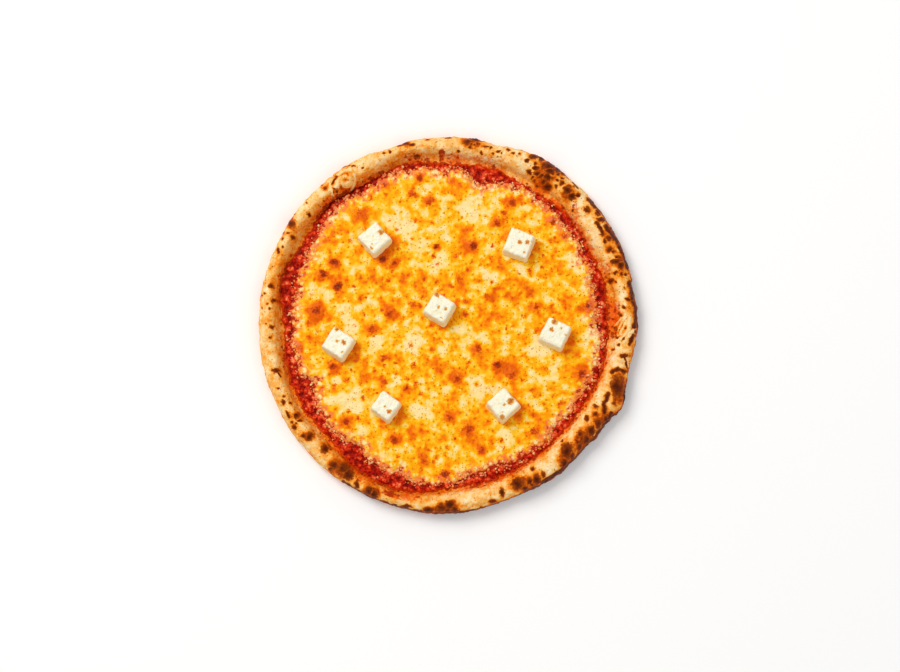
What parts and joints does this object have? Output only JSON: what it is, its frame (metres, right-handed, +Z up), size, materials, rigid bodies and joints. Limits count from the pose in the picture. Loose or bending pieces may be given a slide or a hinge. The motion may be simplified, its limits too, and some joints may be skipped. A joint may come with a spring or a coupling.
{
  "type": "three cheese pizza",
  "caption": "Round whole baked pizza with a raised blistered rim, tomato sauce, melted orange and white cheese, and cubes of white cheese on top.",
  "frame": {"origin": "middle of the flat underside, which lies on z = 0", "axes": "+Z up, out of the cheese side; +X to the right and +Y to the top as seen from above"},
  "size_m": [0.2993, 0.2985, 0.0214],
  "materials": {
    "crust": "matte",
    "sauce": "gloss",
    "melted_cheese": "satin",
    "white_cheese": "matte"
  },
  "bodies": {
    "root": {"dough": "crust", "tomato_sauce": "sauce", "melted_cheese": "melted_cheese", "cheese_cube_1": "white_cheese", "cheese_cube_2": "white_cheese", "cheese_cube_3": "white_cheese", "cheese_cube_4": "white_cheese", "cheese_cube_5": "white_cheese", "cheese_cube_6": "white_cheese", "cheese_cube_7": "white_cheese"}
  },
  "joints": []
}
